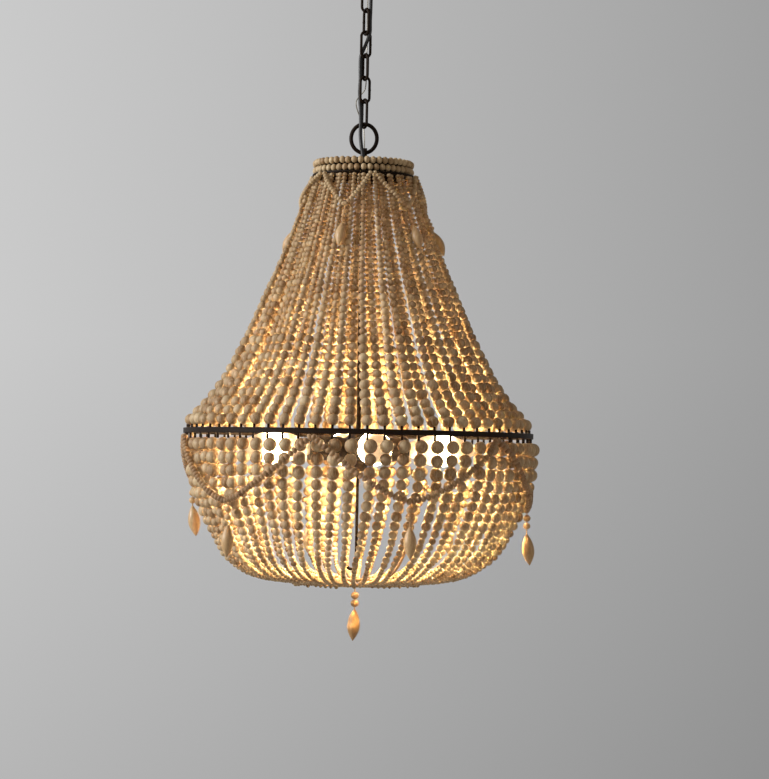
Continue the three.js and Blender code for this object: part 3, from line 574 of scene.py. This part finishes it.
# Tent strands: 66 threads of wooden balls from the crown to the equator hoop, small at the top
# and large at the bottom. A thin wire binds their tops under the crown's flange.
tent_sizes = [(13.3, 12.1)] + [(12, 12)] * 4 + [(10.4, 10.3)] * 5 + [(8.6, 8)] * 8 + [(7, 6.4)] * 7
tent_sizes += [(5.7, 5)] * 10 + [(5.3, 4.2)] * 6


def peg_turn(number):
    """Where a strand's peg sits round the hoop. The back wall's pegs face the gaps of the front wall."""
    turn = (number + 0.5) * 360 / strand_count
    return turn + 90 / strand_count * (1 - math.cos(math.radians(turn)))


def bunches(count):
    """Which strands hang in front (1) and which behind (-1): small bunches of each, all round."""
    places = []
    while len(places) < count:
        places += [1] * random.choice((1, 2, 2)) + [-1] * random.choice((1, 1, 2))
    return places[:count]


def opened(degrees, radius):
    """How far aside a strand of the back wall hangs, in degrees: that wall hangs open in its middle."""
    behind = degrees % 360 - 180
    return 0.0008 * radius * behind * min(max(90 - abs(behind), 0) / 40, 1)


def add_strand(shape, line, sizes, degrees, lead, sway, out, tied, aslant, depth):
    """Threads balls of these sizes along the line. Away from the hoop the thread hangs a little aside, and
    by out in front of its neighbours; tied says whether its far end is held in line with them.
    Aslant is how many degrees to the right its far end is tied, depth the balls' depth of colour."""
    strand = bmesh.new()
    whole = line_length(line)
    sizes = [(width * share, length * share) for width, length in sizes
             for share in [random.uniform(0.92, 1.07)]]
    fit = (whole - lead) / sum(length for _, length in sizes)
    distance = lead
    aside = random.gauss(0, sway)
    second = random.gauss(0, sway / 2)
    for width, length in sizes:
        distance += length * fit / 2
        place, way = at(line, distance)
        share = distance / whole
        held = min(share * 3.3, (1 - share) * 3.3 if tied else 1, 1)
        turn = degrees + aslant * math.cos(math.radians(degrees)) * min(share * 1.6, 1)
        turn += aside * math.sin(math.pi * share) + second * math.sin(math.tau * share)
        turn += opened(turn, place.x) * min(share * 4, 1)
        radius = place.x + out * held + random.gauss(0, 0.2)
        segments, rings = (10, 8) if width > 9 else (8, 7) if width > 6 else (8, 6)
        spot = around(turn, radius, hoop_z + place.z) + lean_at(place.z)
        add_bead(strand, spot, around(turn, way.x, way.z), width, length * fit, segments, rings, depth)
        distance += length * fit / 2
    add_to(shape, strand)
    return turn


tent_front, tent_behind = 1.6, -3.4
tent_bunches = bunches(strand_count)
for sector in range(6):
    strands = bmesh.new()
    for number in range(sector_strands * sector, sector_strands * sector + sector_strands):
        out = (tent_front if tent_bunches[number] > 0 else tent_behind) + random.gauss(0, 0.5)
        aslant = {0: -2.4, 1: -1.9}.get(number, -1.4)  # the first one hangs over the stem
        # The tent's balls get a deeper colour (depth 0.62) than the bowl's: partly their own tone, partly
        # painted shade that keeps the tent darker than the bowl, which is lit more.
        add_strand(strands, tent_line, tent_sizes, peg_turn(number), lead=2.2, sway=0.3, out=out,
                   tied=False, aslant=aslant, depth=0.62)
    put(strands, f"tent_strands_{sector + 1}", raw_beads, "fixture", "bead_wood",
        f"upper_strands_{sector + 1}", sharp=180)

# Bowl strands: 66 threads of wooden balls from the equator hoop to the bottom hoop,
# the largest at the top; the last ones lie almost flat, go over the bottom hoop and end in a knot below it.
bowl_sizes = [(14, 14), (13.6, 13.6), (13.3, 13.3), (11.7, 11.7), (11.4, 11.4), (10.8, 10.8), (10.8, 10.8)]
bowl_sizes += [(10, 10), (9, 9)] + [(7.4, 7.4)] * 5 + [(5.3, 5.3)] * 14
bowl_front, bowl_behind = 1.0, -2.2
knot_radius, knot_z = 66, hoop_z - 158.3
bowl_bunches = bunches(strand_count)
for sector in range(6):
    strands = bmesh.new()
    for number in range(sector_strands * sector, sector_strands * sector + sector_strands):
        out = (bowl_front if bowl_bunches[number] > 0 else bowl_behind) + random.gauss(0, 0.4)
        # The bowl's balls get a paler colour (depth 0.43) than the tent's: partly their own tone, partly
        # painted light for the bowl's stronger glow.
        turn = add_strand(strands, bowl_line, bowl_sizes, peg_turn(number), lead=4.1, sway=0.7, out=out,
                          tied=True, aslant=-4.1, depth=0.43)
        knot = around(turn, knot_radius, knot_z + random.gauss(0, 0.7))
        add_bead(strands, knot, upright, width=random.uniform(3.6, 5), length=5.4, segments=8, rings=6)
    put(strands, f"bowl_strands_{sector + 1}", raw_beads, "fixture", "bead_wood",
        f"lower_strands_{sector + 1}", sharp=180)

# Pegs: a short black crimp at each strand's end holds its thread in the equator hoop, above and below.
# Thin wires bind the other ends, under the crown and at the bottom hoop.
peg_radius = 1.4
pegs = bmesh.new()
for number in range(strand_count):
    for low, high, place_radius in ((2.6, 6.4, 181.2), (-8.2, -2.6, 182.8)):
        peg = bmesh.new()
        bmesh.ops.create_cone(
            peg, cap_ends=True, segments=8, radius1=peg_radius, radius2=peg_radius, depth=high - low)
        bmesh.ops.bevel(
            peg, geom=peg.edges[:], offset=0.3, affect="EDGES", segments=1, profile=0.5, material=-1)
        place = around(peg_turn(number), place_radius, hoop_z + (low + high) / 2)
        add_to(pegs, peg, Matrix.Translation(place))
put(pegs, "hoop_pegs", powder_coat, "fixture", "black_metal")
binding_wire = 1.6
for name, radius, height, finish, slot in (
    ("crown_binding", 52.2, -270.4, powder_coat, "black_metal"),
    ("bottom_binding", 64.6, hoop_z - 157.4, sand_paint, "sand_metal"),
):
    circle = [around(degrees, radius, height) for degrees in range(0, 360, 5)]
    put(drawn_wire(circle, binding_wire / 2, 8, closed=True), name, finish, "fixture", slot)

# Stem and hub: a thin steel tube from the crown to an eight-sided moulded hub with a cone on top.
# The hub is the CAD node's own, in black glass-filled nylon with a fine moulded grain.
stem_radius, stem_length, stem_middle = 2.5, 296.4, -398.8
stem = bmesh.new()
bmesh.ops.create_cone(
    stem, cap_ends=True, segments=24, radius1=stem_radius, radius2=stem_radius, depth=stem_length,
    matrix=Matrix.Translation((0, 0, stem_middle)))
put(stem, "stem_tube", powder_coat, "fixture", "black_metal", "stem")
nylon, tree, surface = finish_material("black moulded nylon", "#2A1F16", 0.5)
rough_skin(tree, surface, 0.9, 0.08, 0.42, 0.6)
keep_node("lamp_hub", nylon)

# Lampholders and bulbs: four moulded black holders lie level on the hub's faces. Each takes a lit
# candle bulb of frosted glass on a nickel-plated screw cap. The glass glows most round its filament
# and, as the bowl is lit more than the tent, on its lower side.
lamp_z, lamp_turn = hoop_z - 16, 11
filament_out = 92.0  # mm from the middle of the hub
glow_below, glow_above, glow_everywhere = 2050.0, 980.0, 0.3
nickel, tree, surface = finish_material("nickel-plated brass", "#C9C6BE", 0.3, 1.0)
rough_skin(tree, surface, 0.8, 0.03, 0.22, 0.38)
frosted_glass, tree, surface = finish_material("frosted candle glass, lit", "#F2E8D6", 0.4)
surface.inputs["Emission Color"].default_value = linear("#FFDFAA")
place = place_in_mm(tree)
height = add_node(tree, "ShaderNodeSeparateXYZ", {0: place})
level = add_node(tree, "ShaderNodeVectorMath", {0: place, 1: (1, 1, 0)}, operation="MULTIPLY")
radius = add_node(tree, "ShaderNodeVectorMath", {0: level.outputs[0]}, operation="LENGTH")
beside = add_node(tree, "ShaderNodeMath", {
    0: radius.outputs["Value"], 1: filament_out,
}, operation="SUBTRACT")
distance = add_node(tree, "ShaderNodeMath", {0: beside.outputs[0]}, operation="ABSOLUTE")
fading = add_node(tree, "ShaderNodeMath", {0: 0.6, 1: distance.outputs[0]}, operation="POWER")
glow = add_node(tree, "ShaderNodeMapRange", {
    "Value": height.outputs["Z"], "From Min": lamp_z - 14, "From Max": lamp_z + 14,
    "To Min": glow_below, "To Max": glow_above,
})
lit = add_node(tree, "ShaderNodeMath", {
    0: fading.outputs[0], 1: glow.outputs[0], 2: glow_everywhere,
}, operation="MULTIPLY_ADD")
tree.links.new(lit.outputs[0], surface.inputs["Emission Strength"])
holder_outline = [
    (0, 12.3), (9.6, 12.3), (10.4, 12.9), (10.9, 14), (12.6, 21), (13, 23), (13, 47), (12.4, 47.6),
    (12.4, 48.6), (13, 49.2), (13, 52.6), (12.4, 53.3), (8.6, 53.3), (7.8, 52.5), (7.8, 21.4), (0, 21.4),
]
cap_outline = [(0, 21.7), (4, 21.7), (4.2, 23.2), (6.9, 24.6)]
for turn in range(8):
    cap_outline += [(6.9, 26 + 3 * turn), (6.3, 27.5 + 3 * turn)]
cap_outline += [(6.9, 50), (6.9, 52.6), (0, 52.6)]
glass_outline = [
    (0, 52.5), (6.8, 52.5), (7.6, 55), (10.4, 62), (13.8, 70), (16.4, 79), (17.4, 88), (16.8, 96),
    (14.6, 105), (11.4, 113.5), (8, 120.5), (4.8, 126), (2, 129.8), (0, 131),
]
for number in range(4):
    turn = math.radians(lamp_turn + 90 * number)
    lay = (Matrix.Translation((0, 0, lamp_z)) @ Matrix.Rotation(turn, 4, "Z")
           @ Matrix.Rotation(math.pi / 2, 4, "X"))
    bulb = f"bulb_{number + 1}"
    for outline, name, finish, body, slot, node in (
        (holder_outline, "holder", nylon, "fixture", "black_plastic", f"lampholder_{number + 1}"),
        (cap_outline, "bulb_cap", nickel, bulb, "warm_glass", bulb),
        (glass_outline, "bulb_glass", frosted_glass, bulb, "warm_glass", bulb),
    ):
        lathe = turned(outline, 32, closed=False)
        bmesh.ops.transform(lathe, matrix=lay, verts=lathe.verts)
        put(lathe, f"{name}_{number + 1}", finish, body, slot, node, sharp=50)

# Hook rod: a bent steel rod, powder coated black and screwed into the hub from below.
# Its foot turns left and carries the last drop.
hook_width = 3.2
hook_line = smooth_line([Vector(point) for point in (
    (0, 0, -583.5), (0, 0, -635), (0, 0, -681.6), (-0.5, 0, -684.4), (-2.4, 0, -686.4), (-5.6, 0, -686.5),
    (-7.6, 0, -685.9), (-9, 0, -684.2),
)], 5)
put(drawn_wire(hook_line, hook_width / 2, 12), "hook_rod_bent", powder_coat,
    "fixture", "black_metal", "hook_rod")

# Garlands: threads of small balls tied at the rims and resting on the strands, a neat zigzag under
# the crown and uneven curves of darker, flatter beads under the equator hoop.
dark_beads = bead_wood("darker rondelle beads", "#B2926B", "#66492D", 0.45, 0.65)


def add_garland(shape, line, width, length):
    """Threads flat balls along a line of places, all in mm."""
    whole = line_length(line)
    count = round(whole / length)
    for number in range(count):
        place, way = at(line, (number + 0.5) * whole / count)
        add_bead(shape, place, way, width * random.uniform(0.96, 1.04), whole / count * 0.98,
                 segments=8, rings=7, depth=0.25)


def out_at(line, height):
    """The radius of a strand's middle line at a height over the hoop."""
    return min(line, key=lambda place: abs(place.z - height)).x


# Ties and points are in degrees round the lamp, heights in mm over the hoop
crown_garland = bmesh.new()
crown_ties = (-45, 9, 70, 134, 184, 228, 315)
crown_points = (-15.5, 43, 100, 160, 206, 251)
crown_tie_height, crown_fall = 273.2, 36.6
for tie, point, next_tie in zip(crown_ties, crown_points, crown_ties[1:]):
    for start, end in ((tie, point), (next_tie, point)):
        legs = []
        for along, down in ((0.04, 0), (0.3, 0.3), (0.66, 0.68), (1, 1)):
            height = crown_tie_height - crown_fall * down
            turn = start + (end - start) * along
            radius = max(out_at(tent_line, height) + 4.6 + 2.2 * max(math.cos(math.radians(turn)), 0), 56.8)
            legs.append(around(turn, radius, hoop_z + height))
        leg = bmesh.new()
        add_garland(leg, smooth_line(legs, 6), width=5.1, length=3.9)
        add_to(crown_garland, leg)
put(crown_garland, "crown_garland", raw_beads, "fixture", "bead_wood", "crown_swags", sharp=180)

bowl_garland = bmesh.new()
bowl_ties = (-78, -14.6, 47, 121, 172, 226, 282)
bowl_points = ((-48.4, 72), (15.5, 69), (80, 78), (147, 74), (199, 76), (257, 56))
for tie, (point, depth), next_tie in zip(bowl_ties, bowl_points, bowl_ties[1:]):
    legs = []
    for along, down in (
        (0, 0), (0.1, 0.27), (0.2, 0.52), (0.3, 0.73), (0.4, 0.9), (0.5, 1),
        (0.6, 0.9), (0.7, 0.73), (0.8, 0.52), (0.9, 0.27), (1, 0),
    ):
        height = -5 - (depth - 5) * down
        if along < 0.5:
            turn = tie + 2 * along * (point - tie)
        else:
            turn = point + (2 * along - 1) * (next_tie - point)
        facing = max(math.cos(math.radians(turn)), 0)
        radius = out_at(bowl_line, height) + 4 + min(2 + 11 * facing, 8.2) * min(-height / 14, 1)
        legs.append(around(turn, radius, hoop_z + height) + lean_at(height))
    leg = bmesh.new()
    add_garland(leg, smooth_line(legs[:6], 6), width=7.5, length=5.1)
    add_garland(leg, smooth_line(legs[5:], 6), width=7.5, length=5.1)
    add_to(bowl_garland, leg)
put(bowl_garland, "bowl_garland", dark_beads, "fixture", "bead_wood", "bowl_swags", sharp=180)

# Drops: a spindle of lacquered hardwood under small balls on a thread, one at each garland point.
# The crown's drops lean on the tent; the bowl's hang free.
spindle_wood = bead_wood("lacquered hardwood spindles", "#D2B388", "#9C7748", 0.34, 0.5)
spindle_shape = (
    (0.0, 0.1), (0.02, 0.2), (0.08, 0.38), (0.18, 0.64), (0.3, 0.85), (0.42, 0.97), (0.52, 1), (0.62, 0.95),
    (0.74, 0.77), (0.85, 0.5), (0.93, 0.26), (0.98, 0.1), (1.0, 0.0),
)
thread_width = 1.2


def drop(name, body, node, top, lean, balls, width, length, thread, tilt, depth=0.4):
    """A thread with balls of (width, length, thread above it) and a spindle under them, hung from a place
    in mm. The spindle sits on its thread a little askew, by tilt degrees to the right.
    Depth is how deep the wood's colour is, from 0 to 1."""
    shape = bmesh.new()
    low = 0
    for wide, tall, above in balls:
        low -= above
        middle = Vector((0, 0, low - tall / 2))
        add_bead(shape, middle, upright, wide, tall, segments=16, rings=12, depth=depth)
        low -= tall
    low -= thread
    outline = [(0, low)] + [(wide * width / 2, low - down * length) for down, wide in spindle_shape]
    spindle = turned(outline, 24, closed=False)
    tones = spindle.verts.layers.float.new("tone")
    tone = depth + random.uniform(-0.2, 0.2)
    for corner in spindle.verts:
        corner[tones] = tone
    askew = lean.inverted() @ Matrix.Rotation(math.radians(-tilt), 4, "Y") @ lean
    knot = Matrix.Translation((0, 0, low))
    add_to(shape, spindle, knot @ askew @ knot.inverted())
    add_to(shape, drawn_wire([(0, 0, 2), (0, 0, low / 2), (0, 0, low - 1)], thread_width / 2, 8))
    bmesh.ops.transform(shape, matrix=Matrix.Translation(top) @ lean, verts=shape.verts)
    put(shape, name, spindle_wood, body, "drop_wood", node, sharp=60)


bowl_tilts = (-1, 2, 6.5, 3, -2, 8)
for kind, slope in (("crown", 25), ("bowl", 0)):
    for number in range(1, 7):
        joint = next(j for j in frame["joints"] if j["name"] == f"{kind}_drop_{number}_swing")
        top = Vector(joint["pos_m"]) * 1000
        turn = Matrix.Rotation(math.atan2(top.x, -top.y), 4, "Z")
        lean = turn @ Matrix.Rotation(-math.radians(slope), 4, "X")
        name = f"{kind}_drop_{number}"
        if kind == "crown":
            balls = ((4.4, 4, 2.2), (4.8, 4.4, 0.4), (4.8, 4.4, 0.2))
            drop(name + "_turned", name, name, top, lean, balls, width=11.2, length=27.6, thread=2.6, tilt=0)
        else:
            thread = 3.2 if number == 6 else 0.6
            balls = ((7.8, 7.4, thread), (7.6, 7.2, 0.8))
            drop(name + "_turned", name, name, top, lean, balls, width=13, length=33,
                 thread=5.6 - thread, tilt=bowl_tilts[number - 1])
# The finial's wood is deeper in colour than the other drops' (depth 1.1): painted shade that dims the bulbs'
# light falling on it from above through the bottom hoop.
drop("finial_turned", "finial", "finial_drop", Vector((-0.6, 0, -686.7)), Matrix(),
     ((8.4, 8.2, 23.8), (8.8, 8.2, 0.1)), width=13.4, length=33.2, thread=2.6, tilt=-2.6, depth=1.1)
